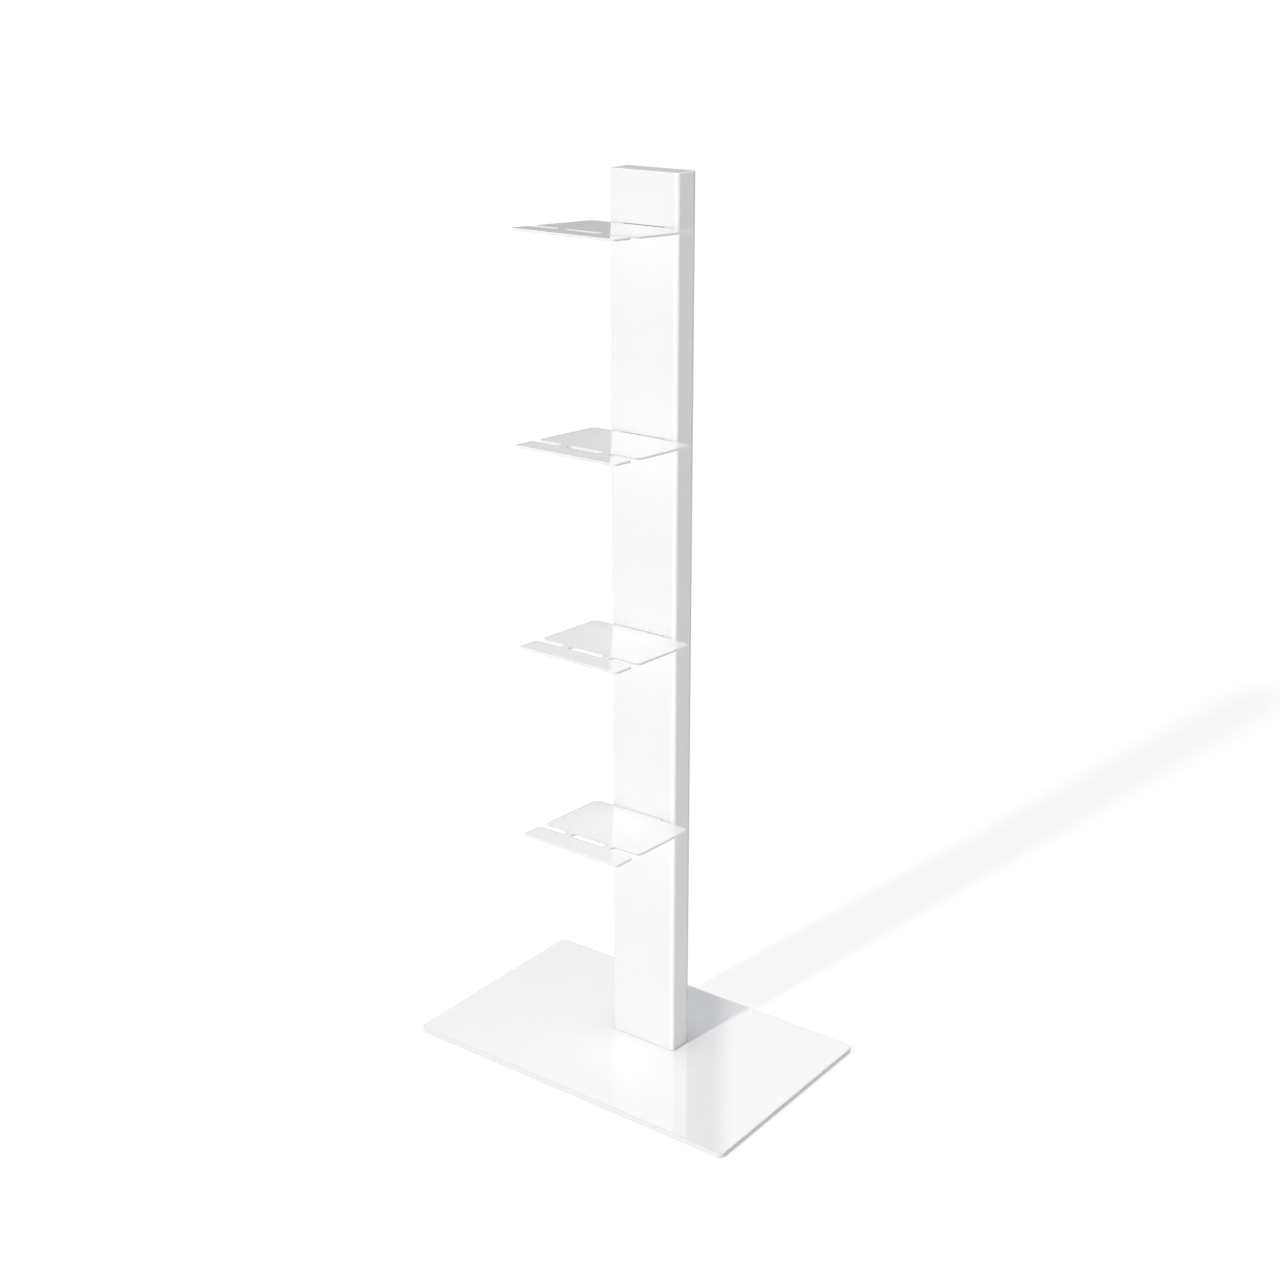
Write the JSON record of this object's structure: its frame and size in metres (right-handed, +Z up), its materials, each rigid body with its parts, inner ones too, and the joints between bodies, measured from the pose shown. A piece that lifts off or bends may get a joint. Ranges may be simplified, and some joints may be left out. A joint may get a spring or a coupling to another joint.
{
  "type": "tree bookshelf",
  "caption": "Free-standing tree bookshelf: a slim upright column on a flat base plate, with tilted sheet-steel shelves plugged into its front, each with a fold-up front flap.",
  "frame": {"origin": "on the floor, under the middle of the base plate", "axes": "+Z up along the column; the shelves face -Y; +X to the right of someone who faces the shelves"},
  "size_m": [0.37, 0.23, 0.8562],
  "materials": {
    "white_lacquer": "gloss",
    "zinc_plated_steel": "satin",
    "black_nylon": "matte",
    "pad_rubber": "matte"
  },
  "bodies": {
    "stand": {"base_plate": "white_lacquer", "column": "white_lacquer", "top_cap": "white_lacquer", "foot_block": "zinc_plated_steel", "base_screws": "zinc_plated_steel", "column_screws": "zinc_plated_steel", "floor_pad_front_left": "pad_rubber", "floor_pad_front_right": "pad_rubber", "floor_pad_back_left": "pad_rubber", "floor_pad_back_right": "pad_rubber", "shelf_socket_1": "black_nylon", "shelf_socket_2": "black_nylon", "shelf_socket_3": "black_nylon", "shelf_socket_4": "black_nylon"},
    "shelf_1": {"shelf_1": "white_lacquer"},
    "front_flap_1": {"front_flap_1": "white_lacquer"},
    "shelf_2": {"shelf_2": "white_lacquer"},
    "front_flap_2": {"front_flap_2": "white_lacquer"},
    "shelf_3": {"shelf_3": "white_lacquer"},
    "front_flap_3": {"front_flap_3": "white_lacquer"},
    "shelf_4": {"shelf_4": "white_lacquer"},
    "front_flap_4": {"front_flap_4": "white_lacquer"}
  },
  "joints": [
    {"name": "shelf_1_slide", "type": "slide", "parent": "stand", "child": "shelf_1", "axis": [0, -0.9986, 0.0523], "range_m": [0, 0.016]},
    {"name": "front_flap_1_fold", "type": "hinge", "parent": "shelf_1", "child": "front_flap_1", "pos_m": [0.011, -0.08519, 0.25893], "axis": [-1, 0, 0], "range_deg": [0, 90]},
    {"name": "shelf_2_slide", "type": "slide", "parent": "stand", "child": "shelf_2", "axis": [0, -0.9986, 0.0523], "range_m": [0, 0.016]},
    {"name": "front_flap_2_fold", "type": "hinge", "parent": "shelf_2", "child": "front_flap_2", "pos_m": [0.011, -0.08519, 0.44413], "axis": [-1, 0, 0], "range_deg": [0, 90]},
    {"name": "shelf_3_slide", "type": "slide", "parent": "stand", "child": "shelf_3", "axis": [0, -0.9986, 0.0523], "range_m": [0, 0.016]},
    {"name": "front_flap_3_fold", "type": "hinge", "parent": "shelf_3", "child": "front_flap_3", "pos_m": [0.011, -0.08519, 0.62933], "axis": [-1, 0, 0], "range_deg": [0, 90]},
    {"name": "shelf_4_slide", "type": "slide", "parent": "stand", "child": "shelf_4", "axis": [0, -0.9986, 0.0523], "range_m": [0, 0.016]},
    {"name": "front_flap_4_fold", "type": "hinge", "parent": "shelf_4", "child": "front_flap_4", "pos_m": [0.011, -0.08519, 0.81453], "axis": [-1, 0, 0], "range_deg": [0, 90]}
  ]
}
